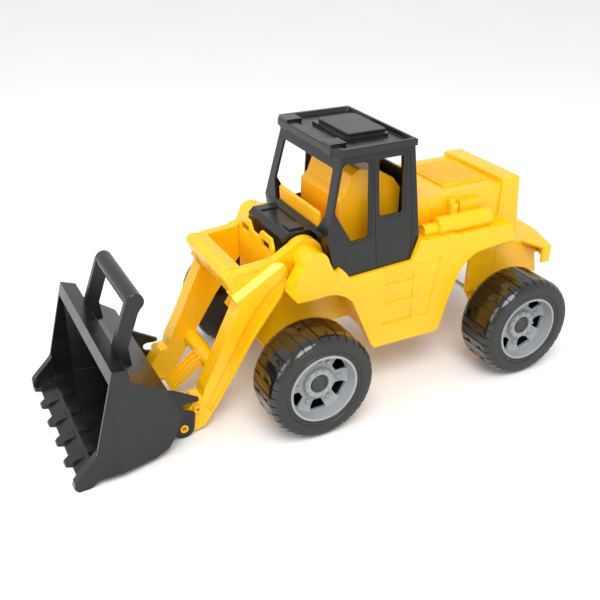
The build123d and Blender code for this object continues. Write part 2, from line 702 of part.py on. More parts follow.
for place, x, side, turn in (
    ("front_left", FRONT_AXLE_X, 1, 0),
    ("front_right", FRONT_AXLE_X, -1, 0),
    ("rear_left", REAR_AXLE_X, 1, REAR_RIM_TURN),
    ("rear_right", REAR_AXLE_X, -1, REAR_RIM_TURN),
):
    for kind, master in (("tyre", tyre_master), ("rim", rim_master.part), ("hub_cap", cap_master)):
        with BuildPart() as wheel_piece:
            add(master.moved(Location((x, 0, AXLE_Z), (0, turn, 0))))
            if side < 0:
                mirror(about=Plane.XZ, mode=Mode.REPLACE)
        wheel_piece.part.label = f"{kind}_{place}"
        export_step(wheel_piece.part, f"parts/{kind}_{place}.step")

# ================================================================ loader arm
BEAM_OUTLINE = [
    (59.6, 170.0),
    (60.6, 176.0),
    (64.0, 180.4),
    (72.0, 181.0),
    (99.0, 165.6),
    (121.0, 152.6),
    (120.4, 150.6),
    (114.8, 140.8),
    (129.8, 110.0),
    (143.0, 81.0),
    (158.0, 52.8),
    (160.6, 42.5),
    (170.0, 41.5),
    (176.5, 33.0),
    (184.0, 22.0),
    (185.2, 12.8),
    (182.0, 4.5),
    (168.0, 2.9),
    (159.7, 5.3),
    (140.0, 34.0),
    (98.0, 100.2),
    (67.3, 141.6),
    (62.0, 154.0),
]
UPPER_ARM_OUTLINE = [
    (34.4, 178.1),
    (48.0, 194.0),
    (70.0, 180.9),
    (87.0, 179.4),
    (103.0, 178.3),
    (111.0, 176.8),
    (118.5, 177.7),
    (123.5, 176.0),
    (126.6, 170.5),
    (115.3, 145.5),
    (104.0, 141.0),
    (80.0, 142.0),
    (67.3, 141.6),
    (57.0, 157.4),
    (47.0, 161.4),
]
WEB_FIELD = [(86.5, 174.9), (103.0, 173.8), (113.6, 172.6), (118.0, 168.0), (114.8, 159.6)]
REAR_BAND = [
    (60.4, 173.0),
    (64.9, 164.4),
    (81.2, 152.8),
    (97.6, 133.0),
    (110.7, 113.4),
    (149.5, 44.0),
    (158.0, 30.0),
    (152.0, 21.0),
    (140.0, 38.5),
    (98.0, 104.5),
    (67.5, 145.5),
    (61.5, 160.0),
]
CROSS_TUBE = (130.5, 50.0)
CROSS_TUBE_RADIUS = 9.6
RIM_DEPTH = 1.4
BAND_DEPTH = 2.5
RIDGE_POINT = (99.0, 0.0, 165.6)
RIDGE_DIRECTION = (0.861, 0.0, -0.508)

with BuildPart() as loader_arm:
    for plane in (left_plane(ARM_OUTER_Y), left_plane(-ARM_INNER_Y)):
        with BuildSketch(plane):
            Polygon(*BEAM_OUTLINE, align=None)
            with Locations(BUCKET_PIN):
                Circle(9.5)
        extrude(amount=ARM_OUTER_Y - ARM_INNER_Y)
    # slope from the upper web out to the beam
    with BuildSketch(Plane(origin=RIDGE_POINT, x_dir=(0, 1, 0), z_dir=RIDGE_DIRECTION)):
        for side in (1, -1):
            Polygon((side * (ARM_OUTER_Y + 1), -7), (side * (ARM_OUTER_Y + 1), 9), (side * ARM_WEB_Y, 9),
                    (side * ARM_WEB_Y, 2.5), align=None)
    extrude(amount=50, both=True, mode=Mode.SUBTRACT)
    # upper webs with a raised rim
    for plane in (left_plane(ARM_WEB_Y), left_plane(-ARM_INNER_Y)):
        with BuildSketch(plane):
            Polygon(*UPPER_ARM_OUTLINE, align=None)
            with Locations(PIVOT):
                Circle(CUP_RADIUS)
        extrude(amount=ARM_WEB_Y - ARM_INNER_Y)
    for plane in (left_plane(ARM_WEB_Y), left_plane(-ARM_WEB_Y + RIM_DEPTH)):
        with BuildSketch(plane):
            Polygon(*WEB_FIELD, align=None)
        extrude(amount=RIM_DEPTH, mode=Mode.SUBTRACT)
    # stepped rear bands of the outer faces
    for plane in (left_plane(ARM_OUTER_Y), left_plane(-ARM_OUTER_Y + BAND_DEPTH)):
        with BuildSketch(plane):
            Polygon(*REAR_BAND, align=None)
        extrude(amount=BAND_DEPTH, mode=Mode.SUBTRACT)
    # cup bores over the shoulder bosses
    for plane in (left_plane(ARM_OUTER_Y), left_plane(-CUP_FLOOR_Y)):
        with BuildSketch(plane):
            with Locations(PIVOT):
                Circle(CUP_BORE)
        extrude(amount=ARM_OUTER_Y - CUP_FLOOR_Y, mode=Mode.SUBTRACT)
    # elbow cross beam
    with BuildSketch(Plane.XZ) as elbow:
        Polygon((105, 177.8), (118.5, 178.9), (123.5, 176.4), (126.6, 170.5), (115.3, 145.5), (112, 147.2),
                (122.6, 170.4), (120.8, 173.4), (117.4, 174.9), (105, 173.9), align=None)
        fillet(elbow.vertices().sort_by(Axis.X)[-3:], 2)
    extrude(amount=ARM_INNER_Y + 1, both=True)
    # lower cross tube and stop pegs
    with BuildSketch(Plane.XZ):
        with Locations(CROSS_TUBE):
            Circle(CROSS_TUBE_RADIUS)
    extrude(amount=ARM_INNER_Y + 1, both=True)
    for plane in (left_plane(TAB_OUTER_Y + 2.3), left_plane(-ARM_OUTER_Y + 1)):
        with BuildSketch(plane):
            with Locations(STOP_PEG):
                Circle(STOP_PEG_RADIUS)
                Circle(2.2, mode=Mode.SUBTRACT)
        extrude(amount=TAB_OUTER_Y + 3.3 - ARM_OUTER_Y)
    with BuildSketch(Plane.XZ):
        with Locations(BUCKET_PIN):
            Circle(PIN_RADIUS)
    extrude(amount=80, both=True, mode=Mode.SUBTRACT)

# ================================================================ latch tongue
TONGUE_OUTLINE = [(134.5, 43.0), (138.5, 51.0), (147.5, 48.5), (178.0, 24.0), (175.5, 20.5), (144.5, 41.0)]
TONGUE_RIB = [(137.5, 50.0), (140.5, 56.0), (149.5, 51.5), (178.5, 28.0), (178.0, 23.9), (147.5, 48.0)]
SADDLE_SECTOR = [(130.5, 50.0), (144.5, 56.5), (148.5, 44.0), (139.5, 34.0)]
SADDLE_THICKNESS = 2.6
with BuildPart() as latch_tongue:
    with BuildSketch(Plane.XZ) as clip:
        with Locations(CROSS_TUBE):
            Circle(CROSS_TUBE_RADIUS + SADDLE_THICKNESS)
        Polygon(*SADDLE_SECTOR, align=None, mode=Mode.INTERSECT)
        Polygon(*TONGUE_OUTLINE, align=None)
        with Locations(CROSS_TUBE):
            Circle(CROSS_TUBE_RADIUS, mode=Mode.SUBTRACT)
    extrude(amount=10, both=True)
    for y in (-8, 0, 8):
        with BuildSketch(Plane.XZ.offset(y - 1)):
            Polygon(*TONGUE_RIB, align=None)
            with Locations(CROSS_TUBE):
                Circle(CROSS_TUBE_RADIUS, mode=Mode.SUBTRACT)
        extrude(amount=2)

# ================================================================ bucket pins
PIN_INNER_Y = 52.0
PIN_OUTER_Y = 71.8
bucket_pins = {}
for place, plane in (("left", left_plane(PIN_OUTER_Y)), ("right", left_plane(-PIN_INNER_Y))):
    with BuildPart() as pin:
        with BuildSketch(plane):
            with Locations(BUCKET_PIN):
                Circle(PIN_RADIUS)
                Circle(2.6, mode=Mode.SUBTRACT)
        extrude(amount=PIN_OUTER_Y - PIN_INNER_Y)
    pin.part.label = f"bucket_pin_{place}"
    export_step(pin.part, f"parts/bucket_pin_{place}.step")

# ================================================================ bucket
BUCKET_Y = 104.0
BUCKET_WALL = 3.0
BEAM_HOLLOW_Y = 96.0
TOOTH_COUNT = 6
TOOTH_WIDTH = 15.0
CHEEK_THICKNESS = 9.0
BUCKET_PLAN = [(330.0, 104.0), (262.0, 104.0), (205.0, 90.0), (185.0, 85.0)]
BUCKET_OUTLINE = [
    (262.0, 127.0),
    (246.0, 123.0),
    (244.0, 108.6),
    (233.6, 100.7),
    (206.8, 83.8),
    (200.0, 66.3),
    (193.2, 44.5),
    (195.2, 31.4),
    (202.0, 19.0),
    (209.6, 9.8),
    (224.0, 6.0),
    (238.3, 6.4),
    (286.0, 7.4),
    (292.0, 2.4),
    (297.0, 0.0),
    (303.0, 0.4),
    (304.5, 3.4),
    (300.0, 12.0),
    (290.0, 22.0),
]
BUCKET_SCOOP = [
    (262.6, 113.0),
    (247.0, 107.0),
    (235.6, 98.2),
    (209.2, 81.2),
    (202.9, 65.6),
    (196.3, 44.5),
    (198.1, 32.6),
    (204.4, 21.0),
    (211.4, 12.6),
    (225.0, 9.0),
    (238.6, 9.4),
    (287.0, 10.2),
    (303.5, 3.4),
    (340.0, 3.4),
    (340.0, 113.0),
]
TOOTH_PITCH = 37.6
TAB_PLATE = [
    (204.0, 22.0),
    (190.0, 1.8),
    (185.2, 0.8),
    (173.2, 12.8),
    (171.6, 28.0),
    (176.0, 31.5),
    (181.0, 32.8),
    (184.6, 37.0),
    (184.2, 41.8),
    (180.2, 43.6),
    (172.0, 42.8),
    (167.0, 43.2),
    (166.6, 46.4),
    (193.0, 62.4),
    (200.0, 64.5),
]

with BuildPart() as bucket_scoop:
    with BuildSketch(Plane.XZ):
        Polygon(*BUCKET_SCOOP, align=None)
    extrude(amount=BUCKET_Y, both=True)
    with BuildSketch(Plane.XY.offset(-20)):
        Polygon(*[(x, y - BUCKET_WALL) for x, y in BUCKET_PLAN],
                *[(x, BUCKET_WALL - y) for x, y in reversed(BUCKET_PLAN)], align=None)
    extrude(amount=200, mode=Mode.INTERSECT)

with BuildPart() as bucket:
    with BuildSketch(Plane.XZ):
        Polygon(*BUCKET_OUTLINE, align=None)
    extrude(amount=BUCKET_Y, both=True)
    with BuildSketch(Plane.XY.offset(-20)):
        Polygon(*BUCKET_PLAN, *[(x, -y) for x, y in reversed(BUCKET_PLAN)], align=None)
    extrude(amount=200, mode=Mode.INTERSECT)
    # hook tabs that straddle the arm ends
    for plane in (left_plane(TAB_OUTER_Y), left_plane(-TAB_INNER_Y)):
        with BuildSketch(plane):
            Polygon(*TAB_PLATE, align=None)
            with Locations(BUCKET_PIN):
                Circle(12)
            with Locations(BUCKET_PIN):
                Circle(TAB_BORE, mode=Mode.SUBTRACT)
        extrude(amount=TAB_OUTER_Y - TAB_INNER_Y)
    add(bucket_scoop.part, mode=Mode.SUBTRACT)
    # hollow of the top beam, open downwards into the scoop
    with BuildSketch(Plane.XZ):
        Polygon((259, 112), (259, 122.8), (249, 120.4), (247.5, 107), align=None)
    extrude(amount=BEAM_HOLLOW_Y, both=True, mode=Mode.SUBTRACT)
    # six thick teeth on the lip, each with a pad behind it on the floor
    for index in range(TOOTH_COUNT):
        y = (index - (TOOTH_COUNT - 1) / 2) * TOOTH_PITCH
        with BuildSketch(Plane.XZ.offset(-y - TOOTH_WIDTH / 2)):
            Polygon((291, 4), (291, 9.5), (300, 8.0), (309.5, 3.6), (311, 1.6), (309.5, 0), (296, 0),
                    align=None)
        extrude(amount=TOOTH_WIDTH)
        with BuildSketch(Plane.XY.offset(5)):
            with Locations((281, y)):
                RectangleRounded(12, TOOTH_WIDTH - 3, 1.5)
        extrude(amount=8)
    with BuildSketch(Plane.XY):
        for index in range(TOOTH_COUNT):
            y = (index - (TOOTH_COUNT - 1) / 2) * TOOTH_PITCH
            for side in (1, -1):
                Polygon((303, y + side * (TOOTH_WIDTH / 2 + 1)), (303, y + side * TOOTH_WIDTH / 2),
                        (312, y + side * 4), (312, y + side * (TOOTH_WIDTH / 2 + 1)), align=None)
    extrude(amount=20, mode=Mode.SUBTRACT)
    # side cheeks at the lip
    for plane in (left_plane(BUCKET_Y), left_plane(-BUCKET_Y + CHEEK_THICKNESS)):
        with BuildSketch(plane):
            Polygon((285, 38), (291, 31), (305, 17), (310.5, 11), (311, 4.5), (307.5, 0), (297, 0), (283, 9),
                    align=None)
        extrude(amount=CHEEK_THICKNESS)

# ================================================================ bucket handle
HANDLE_BAR = (221.0, 168.2)
HANDLE_BAR_RADIUS = 9.3
HANDLE_Y = 57.0
HANDLE_UPRIGHT = 6.5
UPRIGHT_OUTLINE = [
    (214.0, 164.0),
    (219.5, 155.6),
    (232.4, 120.3),
    (230.4, 99.0),
    (233.6, 100.9),
    (243.7, 108.8),
    (245.8, 123.2),
    (247.6, 123.7),
    (232.0, 165.8),
    (229.6, 172.0),
]
with BuildPart() as bucket_handle:
    with BuildSketch(Plane.XZ):
        with Locations(HANDLE_BAR):
            Circle(HANDLE_BAR_RADIUS)
    extrude(amount=HANDLE_Y, both=True)
    chamfer(bucket_handle.edges(), 0.8)
    for plane in (left_plane(HANDLE_Y), left_plane(HANDLE_UPRIGHT - HANDLE_Y)):
        with BuildSketch(plane):
            Polygon(*UPRIGHT_OUTLINE, align=None)
        extrude(amount=HANDLE_UPRIGHT)
for name, piece in (
    ("body_shell", body_shell),
    ("underframe", underframe),
    ("body_screws", body_screws),
    ("cab_shell", cab_shell),
    ("cab_screws", cab_screws),
    ("cab_interior", cab_interior),
    ("loader_arm", loader_arm),
    ("latch_tongue", latch_tongue),
    ("bucket", bucket),
    ("bucket_handle", bucket_handle),
):
    piece.part.label = name
    export_step(piece.part, f"parts/{name}.step")
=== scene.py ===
import json
import math

import bmesh
import bpy
from mathutils import Matrix, Vector

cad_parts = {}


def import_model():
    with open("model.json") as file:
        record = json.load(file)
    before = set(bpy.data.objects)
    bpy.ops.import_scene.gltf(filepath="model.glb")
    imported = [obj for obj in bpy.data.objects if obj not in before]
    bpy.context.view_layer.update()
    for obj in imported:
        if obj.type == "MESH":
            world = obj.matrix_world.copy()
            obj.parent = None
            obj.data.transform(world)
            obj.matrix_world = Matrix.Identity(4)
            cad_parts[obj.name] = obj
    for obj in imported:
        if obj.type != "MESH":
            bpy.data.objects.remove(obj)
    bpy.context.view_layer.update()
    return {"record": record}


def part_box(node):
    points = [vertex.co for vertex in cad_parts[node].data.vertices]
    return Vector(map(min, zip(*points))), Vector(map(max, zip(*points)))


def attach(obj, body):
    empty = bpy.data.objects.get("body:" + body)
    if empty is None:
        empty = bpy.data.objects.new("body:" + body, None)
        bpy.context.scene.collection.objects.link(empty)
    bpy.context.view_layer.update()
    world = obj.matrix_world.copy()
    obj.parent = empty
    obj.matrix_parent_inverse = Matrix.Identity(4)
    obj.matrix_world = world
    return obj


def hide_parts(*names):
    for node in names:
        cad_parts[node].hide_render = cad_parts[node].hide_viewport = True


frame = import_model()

MM = 0.001
ROUND_EDGE = 0.0006
WORN_EDGE = 0.0009
BEVEL_SAMPLES = 4


# ------------------------------------------------------------------ node helpers
def new_material(name):
    """An empty node material with one principled shader."""
    mat = bpy.data.materials.new(name)
    mat.use_nodes = True
    tree = mat.node_tree
    tree.nodes.clear()
    out = tree.nodes.new("ShaderNodeOutputMaterial")
    bsdf = tree.nodes.new("ShaderNodeBsdfPrincipled")
    tree.links.new(bsdf.outputs[0], out.inputs[0])
    return mat, tree, bsdf


def noise(tree, coords, scale, detail=3.0, rough=0.55, distortion=0.0):
    """Noise between 0 and 1; scale is in cells per metre."""
    node = tree.nodes.new("ShaderNodeTexNoise")
    node.inputs["Scale"].default_value = scale
    node.inputs["Detail"].default_value = detail
    node.inputs["Roughness"].default_value = rough
    node.inputs["Distortion"].default_value = distortion
    tree.links.new(coords, node.inputs["Vector"])
    return node.outputs["Fac"]


def ramp(tree, value, low, high, a, b):
    """Map low..high to a..b, clamped."""
    node = tree.nodes.new("ShaderNodeMapRange")
    node.inputs["From Min"].default_value = low
    node.inputs["From Max"].default_value = high
    node.inputs["To Min"].default_value = a
    node.inputs["To Max"].default_value = b
    node.clamp = True
    tree.links.new(value, node.inputs["Value"])
    return node.outputs["Result"]


def mix_color(tree, factor, a, b):
    """Colour a at factor 0 and b at factor 1; each input is a socket, a number or an RGB tuple."""
    node = tree.nodes.new("ShaderNodeMix")
    node.data_type = "RGBA"
    for socket, value in ((node.inputs[0], factor), (node.inputs[6], a), (node.inputs[7], b)):
        if isinstance(value, (int, float)):
            socket.default_value = value
        elif isinstance(value, tuple):
            socket.default_value = (*value, 1.0)
        else:
            tree.links.new(value, socket)
    return node.outputs[2]


def bump(tree, bsdf, layers):
    """Bumps on softly rounded edges; each layer is (height socket, strength, distance in metres)."""
    bevel = tree.nodes.new("ShaderNodeBevel")
    bevel.samples = BEVEL_SAMPLES
    bevel.inputs["Radius"].default_value = ROUND_EDGE
    normal = bevel.outputs[0]
    for height, strength, distance in layers:
        node = tree.nodes.new("ShaderNodeBump")
        node.inputs["Strength"].default_value = strength
        node.inputs["Distance"].default_value = distance
        tree.links.new(height, node.inputs["Height"])
        tree.links.new(normal, node.inputs["Normal"])
        normal = node.outputs[0]
    tree.links.new(normal, bsdf.inputs["Normal"])


def edge_mask(tree, radius):
    """One on edges, zero on flats, from the difference of bevelled and true normals."""
    bevel = tree.nodes.new("ShaderNodeBevel")
    bevel.samples = BEVEL_SAMPLES
    bevel.inputs["Radius"].default_value = radius
    geo = tree.nodes.new("ShaderNodeNewGeometry")
    dot = tree.nodes.new("ShaderNodeVectorMath")
    dot.operation = "DOT_PRODUCT"
    tree.links.new(bevel.outputs[0], dot.inputs[0])
    tree.links.new(geo.outputs["Normal"], dot.inputs[1])
    return ramp(tree, dot.outputs["Value"], 0.80, 0.995, 1.0, 0.0)


def moulded_plastic(name, base, deep, pale, rough, grain, coat=0.0, wear=(1, 1, 1), wear_mix=0.0, sss=0.0):
    """Moulded plastic: slow colour drift, fine grain, uneven gloss, and rubbed edges."""
    mat, tree, bsdf = new_material(name)
    coords = tree.nodes.new("ShaderNodeTexCoord").outputs["Object"]
    drift = noise(tree, coords, scale=9.0, detail=2.0)
    cloud = noise(tree, coords, scale=45.0, detail=4.0)
    fine = noise(tree, coords, scale=1500.0, detail=2.0)
    scuff = noise(tree, coords, scale=160.0, detail=6.0, rough=0.7, distortion=1.5)
    color = mix_color(tree, ramp(tree, drift, 0.35, 0.65, 0.0, 1.0), deep, base)
    color = mix_color(tree, ramp(tree, cloud, 0.45, 0.75, 0.0, 0.35), color, pale)
    edges = edge_mask(tree, WORN_EDGE)
    color = mix_color(tree, ramp(tree, edges, 0.0, 1.0, 0.0, wear_mix), color, wear)
    tree.links.new(color, bsdf.inputs["Base Color"])
    gloss = ramp(tree, cloud, 0.3, 0.7, rough - 0.05, rough + 0.06)
    marks = ramp(tree, scuff, 0.62, 0.72, 0.0, 0.12)
    add = tree.nodes.new("ShaderNodeMath")
    add.operation = "ADD"
    tree.links.new(gloss, add.inputs[0])
    tree.links.new(marks, add.inputs[1])
    tree.links.new(add.outputs[0], bsdf.inputs["Roughness"])
    bsdf.inputs["Coat Weight"].default_value = coat
    bsdf.inputs["Coat Roughness"].default_value = 0.12
    bsdf.inputs["IOR"].default_value = 1.49
    if sss:
        bsdf.inputs["Subsurface Weight"].default_value = sss
        bsdf.inputs["Subsurface Radius"].default_value = (0.02, 0.008, 0.002)
        bsdf.inputs["Subsurface Scale"].default_value = 0.25
    bump(tree, bsdf, [(cloud, 0.05, 0.0006), (fine, grain, 0.00012)])
    return mat


YELLOW = moulded_plastic(
    "plastic_yellow", base=(1.0, 0.56, 0.003), deep=(1.0, 0.49, 0.002), pale=(1.0, 0.62, 0.006),
    rough=0.26, grain=0.08, wear=(1.0, 0.66, 0.06), wear_mix=0.35, sss=0.12)
# the body yellow again, made darker and more orange for the inside parts: painted shade
YELLOW_INSIDE_SHADED = moulded_plastic(
    "plastic_yellow_inside_painted_shade", base=(1.0, 0.48, 0.003), deep=(0.98, 0.42, 0.002), pale=(1.0, 0.54, 0.006),
    rough=0.36, grain=0.12, wear=(1.0, 0.60, 0.05), wear_mix=0.25, sss=0.12)
CAB_BLACK = moulded_plastic(
    "plastic_black_grained", base=(0.008, 0.009, 0.0085), deep=(0.005, 0.006, 0.0055),
    pale=(0.014, 0.015, 0.0145), rough=0.24, grain=0.22, wear=(0.07, 0.07, 0.07), wear_mix=0.4)
BUCKET_BLACK = moulded_plastic(
    "plastic_black_bucket", base=(0.006, 0.007, 0.007), deep=(0.004, 0.005, 0.005),
    pale=(0.011, 0.012, 0.012), rough=0.26, grain=0.20, wear=(0.06, 0.06, 0.06), wear_mix=0.4)
TYRE_BLACK = moulded_plastic(
    "plastic_black_tyre", base=(0.005, 0.0045, 0.004), deep=(0.003, 0.003, 0.003),
    pale=(0.009, 0.0085, 0.008), rough=0.15, grain=0.06, coat=0.5, wear=(0.06, 0.06, 0.06), wear_mix=0.3)
RIM_SILVER = moulded_plastic(
    "plastic_silver", base=(0.32, 0.34, 0.35), deep=(0.27, 0.29, 0.30), pale=(0.40, 0.42, 0.43),
    rough=0.36, grain=0.15, wear=(0.6, 0.6, 0.6), wear_mix=0.3)
SIDEWALL = moulded_plastic(
    "plastic_black_sidewall", base=(0.014, 0.015, 0.015), deep=(0.010, 0.011, 0.011),
    pale=(0.022, 0.023, 0.023), rough=0.36, grain=0.22, wear=(0.07, 0.07, 0.07), wear_mix=0.3)
CAP_BLACK = moulded_plastic(
    "plastic_cap", base=(0.03, 0.03, 0.032), deep=(0.022, 0.022, 0.024), pale=(0.045, 0.045, 0.047),
    rough=0.4, grain=0.2, wear=(0.12, 0.12, 0.12), wear_mix=0.3)


def paint_shade_behind_dish(mat, dish_y, tint):
    """Painted shade: dark colour on the parts of the rim inboard of its dish, which is dish_y metres off
    centre.
    """
    tree = mat.node_tree
    bsdf = next(node for node in tree.nodes if node.type == "BSDF_PRINCIPLED")
    painted = bsdf.inputs["Base Color"].links[0].from_socket
    split = tree.nodes.new("ShaderNodeSeparateXYZ")
    tree.links.new(tree.nodes.new("ShaderNodeTexCoord").outputs["Object"], split.inputs[0])
    side = tree.nodes.new("ShaderNodeMath")
    side.operation = "ABSOLUTE"
    tree.links.new(split.outputs["Y"], side.inputs[0])
    # mask for the painted shade on the inner barrel, fading out over DISH_BLEND at the dish
    inboard = ramp(tree, side.outputs[0], dish_y - DISH_BLEND, dish_y, 1.0, 0.0)
    tree.links.new(mix_color(tree, inboard, painted, tint), bsdf.inputs["Base Color"])


DISH_BLEND = 0.0006
# painted shade on the rim's inner barrel, where the dish windows look into shadow
paint_shade_behind_dish(RIM_SILVER, dish_y=0.1172, tint=(0.008, 0.008, 0.009))


def steel(name, tint, rough):
    """Drawn or plated steel: fine streaks and a few duller spots."""
    mat, tree, bsdf = new_material(name)
    coords = tree.nodes.new("ShaderNodeTexCoord").outputs["Object"]
    streak = noise(tree, coords, scale=700.0, detail=5.0, rough=0.6)
    spots = noise(tree, coords, scale=90.0, detail=3.0)
    color = mix_color(tree, ramp(tree, spots, 0.5, 0.75, 0.0, 0.5), tint, tuple(0.7 * c for c in tint))
    tree.links.new(color, bsdf.inputs["Base Color"])
    bsdf.inputs["Metallic"].default_value = 1.0
    tree.links.new(ramp(tree, streak, 0.3, 0.7, rough - 0.08, rough + 0.1), bsdf.inputs["Roughness"])
    bump(tree, bsdf, [(streak, 0.15, 0.00008)])
    return mat


STEEL = steel("steel_plain", (0.62, 0.61, 0.59), 0.3)
STEEL_ZINC = steel("steel_zinc", (0.58, 0.58, 0.60), 0.35)

FINISH = {
    "yellow_body": YELLOW,
    "yellow_arm": YELLOW,
    "yellow_inside": YELLOW_INSIDE_SHADED,
    "black_cab": CAB_BLACK,
    "black_bucket": BUCKET_BLACK,
    "black_tyre": TYRE_BLACK,
    "silver_rim": RIM_SILVER,
    "black_cap": CAP_BLACK,
    "steel_rod": STEEL,
    "steel_nut": STEEL_ZINC,
    "steel_screw": STEEL_ZINC,
}
for part in frame["record"]["subparts"]:
    obj = bpy.data.objects.get(part["node"])
    if obj is None:
        continue
    finish = FINISH[part["material_slot"]]
    for material_slot in obj.material_slots:
        material_slot.material = finish
    if not obj.material_slots:
        obj.data.materials.append(finish)


# ------------------------------------------------------------------ mesh helpers
SMOOTH_BELOW = math.radians(35.0)


def mesh_piece(name, verts, faces, materials, indices=None):
    """A mesh object in metres from millimetre vertices, with outward normals and smooth shading by angle."""
    mesh = bpy.data.meshes.new(name)
    mesh.from_pydata([tuple(MM * c for c in v) for v in verts], [], faces)
    for material in materials:
        mesh.materials.append(material)
    if indices:
        mesh.polygons.foreach_set("material_index", indices)
    bm = bmesh.new()
    bm.from_mesh(mesh)
    bmesh.ops.recalc_face_normals(bm, faces=bm.faces)
    for face in bm.faces:
        face.smooth = True
    for edge in bm.edges:
        edge.smooth = len(edge.link_faces) == 2 and edge.calc_face_angle(0.0) < SMOOTH_BELOW
    bm.to_mesh(mesh)
    bm.free()
    obj = bpy.data.objects.new(name, mesh)
    bpy.context.collection.objects.link(obj)
    return obj


def bevelled_prism(center, radius, length, sides, side, lift=0.5, phase=0.0):
    """Prism along Y with a bevelled outer end, from its inner end's centre."""
    verts, faces = [], []
    cx, cy, cz = center
    for scale, depth in ((1.0, 0.0), (1.0, length - lift), (1.0 - lift / radius, length)):
        for k in range(sides):
            angle = phase + 2 * math.pi * k / sides
            verts.append((cx + radius * scale * math.cos(angle), side * (cy + depth),
                          cz + radius * scale * math.sin(angle)))
    for level in range(2):
        for k in range(sides):
            n = (k + 1) % sides
            below, above = level * sides, (level + 1) * sides
            faces.append((below + k, below + n, above + n, above + k))
    faces.append(tuple(range(sides)))
    faces.append(tuple(range(2 * sides, 3 * sides)))
    return verts, faces


def bar(x0, x1, y0, y1, z0, z1, bevel=0.15):
    """Low bar with a bevelled top."""
    verts = []
    for z, inset in ((z0, 0.0), (z1 - bevel, 0.0), (z1, bevel)):
        verts += [(x0 + inset, y0 + inset, z), (x1 - inset, y0 + inset, z),
                  (x1 - inset, y1 - inset, z), (x0 + inset, y1 - inset, z)]
    faces = [(0, 1, 2, 3), (8, 9, 10, 11)]
    for level in (0, 4):
        for k in range(4):
            n = (k + 1) % 4
            faces.append((level + k, level + n, level + 4 + n, level + 4 + k))
    return verts, faces


def merge(parts):
    """Join several (vertices, faces) lists."""
    verts, faces = [], []
    for part_verts, part_faces in parts:
        base = len(verts)
        verts.extend(part_verts)
        faces.extend(tuple(base + i for i in face) for face in part_faces)
    return verts, faces


# ------------------------------------------------------------------ wheel detail
TREAD_SECTORS = 18
SECTOR_STEPS = (0.0, 0.35, 1.35, 1.7, 5.0, 8.0, 10.0, 10.35, 11.35, 11.7, 14.4, 17.2)
ACROSS_STEPS = (1, 2)
NOTCH_STEPS = (7, 8)
HOOK_STEPS = (8, 9, 10)
GROOVE_DEPTH = 1.5
TREAD_INNER_RADIUS = 56.8
OUTER_HOOK = (118.0, 119.8)
INNER_HOOK = (97.4, 99.2)
OUTER_NOTCH_FROM = 117.9
OUTER_WALL_RADIUS = 57.0
OUTER_WALL_FROM = 133.9
# the tyre's section as (radius, distance from the centre plane) in mm, from the rim seat outwards and round
TYRE_RINGS = (
    # ringed outer sidewall
    (39.8, 134.0), (41.0, 135.2), (43.4, 135.5), (43.9, 134.9), (45.0, 134.9), (45.5, 135.7),
    (52.0, 136.0), (54.6, 135.7), (55.0, 135.2), (57.4, 134.8), (59.2, 132.9), (60.6, 130.6),
    # tread
    (61.3, 128.4), (61.6, 126.0), (61.6, 119.6), (61.6, 118.2), (61.6, 110.0), (61.6, 108.6),
    (61.6, 99.0), (61.6, 97.6), (61.6, 91.0), (61.3, 88.8), (60.6, 86.6), (59.2, 84.3),
    # inner wall, closed nearly down to the axle
    (57.4, 82.4), (52.0, 81.1), (46.0, 81.1), (11.0, 82.2), (11.0, 84.0), (46.0, 84.4),
    # cavity and rim seat
    (51.5, 84.6), (55.0, 87.0), (56.5, 90.0), (56.5, 127.0), (54.0, 131.0), (50.0, 132.2),
    (42.5, 131.0), (42.5, 122.0), (39.8, 122.0),
)


def groove_depth(step, radius, y):
    """Depth in mm of the tread grooves and shoulder notches at one point of the tyre's outer skin."""
    if radius < TREAD_INNER_RADIUS:
        return 0.0
    across = step in ACROSS_STEPS
    notch = step in NOTCH_STEPS and (y > OUTER_NOTCH_FROM or y < INNER_HOOK[1])
    in_hook = OUTER_HOOK[0] < y < OUTER_HOOK[1] or INNER_HOOK[0] < y < INNER_HOOK[1]
    hook = step in HOOK_STEPS and in_hook
    return GROOVE_DEPTH if across or notch or hook else 0.0


def treaded_tyre(name, axle_x, axle_z, side, phase):
    """Tyre with transverse grooves, hooked shoulder grooves and a ringed sidewall."""
    verts, faces, indices = [], [], []
    columns = TREAD_SECTORS * len(SECTOR_STEPS)
    rings = len(TYRE_RINGS)
    for sector in range(TREAD_SECTORS):
        for step, offset in enumerate(SECTOR_STEPS):
            angle = math.radians(sector * 360.0 / TREAD_SECTORS + offset + phase)
            for radius, y in TYRE_RINGS:
                r = radius - groove_depth(step, radius, y)
                verts.append((axle_x + r * math.cos(angle), side * y, axle_z + r * math.sin(angle)))
    for column in range(columns):
        after = (column + 1) % columns
        for ring in range(rings):
            below = (ring + 1) % rings
            faces.append((column * rings + ring, column * rings + below,
                          after * rings + below, after * rings + ring))
            radius, y = TYRE_RINGS[ring]
            outer_wall = radius < OUTER_WALL_RADIUS and y > OUTER_WALL_FROM
            indices.append(1 if outer_wall else 0)
    return mesh_piece(name, verts, faces, [TYRE_BLACK, SIDEWALL], indices)


LUG_COUNT = 10
LUG_CIRCLE = 15.0
LUG_RADIUS = 1.9
LUG_HEIGHT = 1.9
LUG_SIDES = 6
LUG_BASE_Y = 123.6


def lug_ring(name, axle_x, axle_z, side):
    """A circle of hexagonal lug bolts on the rim's face."""
    lugs = []
    for k in range(LUG_COUNT):
        angle = 2 * math.pi * k / LUG_COUNT
        center = (axle_x + LUG_CIRCLE * math.cos(angle), LUG_BASE_Y, axle_z + LUG_CIRCLE * math.sin(angle))
        lugs.append(bevelled_prism(center, LUG_RADIUS, LUG_HEIGHT, LUG_SIDES, side, phase=angle))
    return mesh_piece(name, *merge(lugs), [RIM_SILVER])


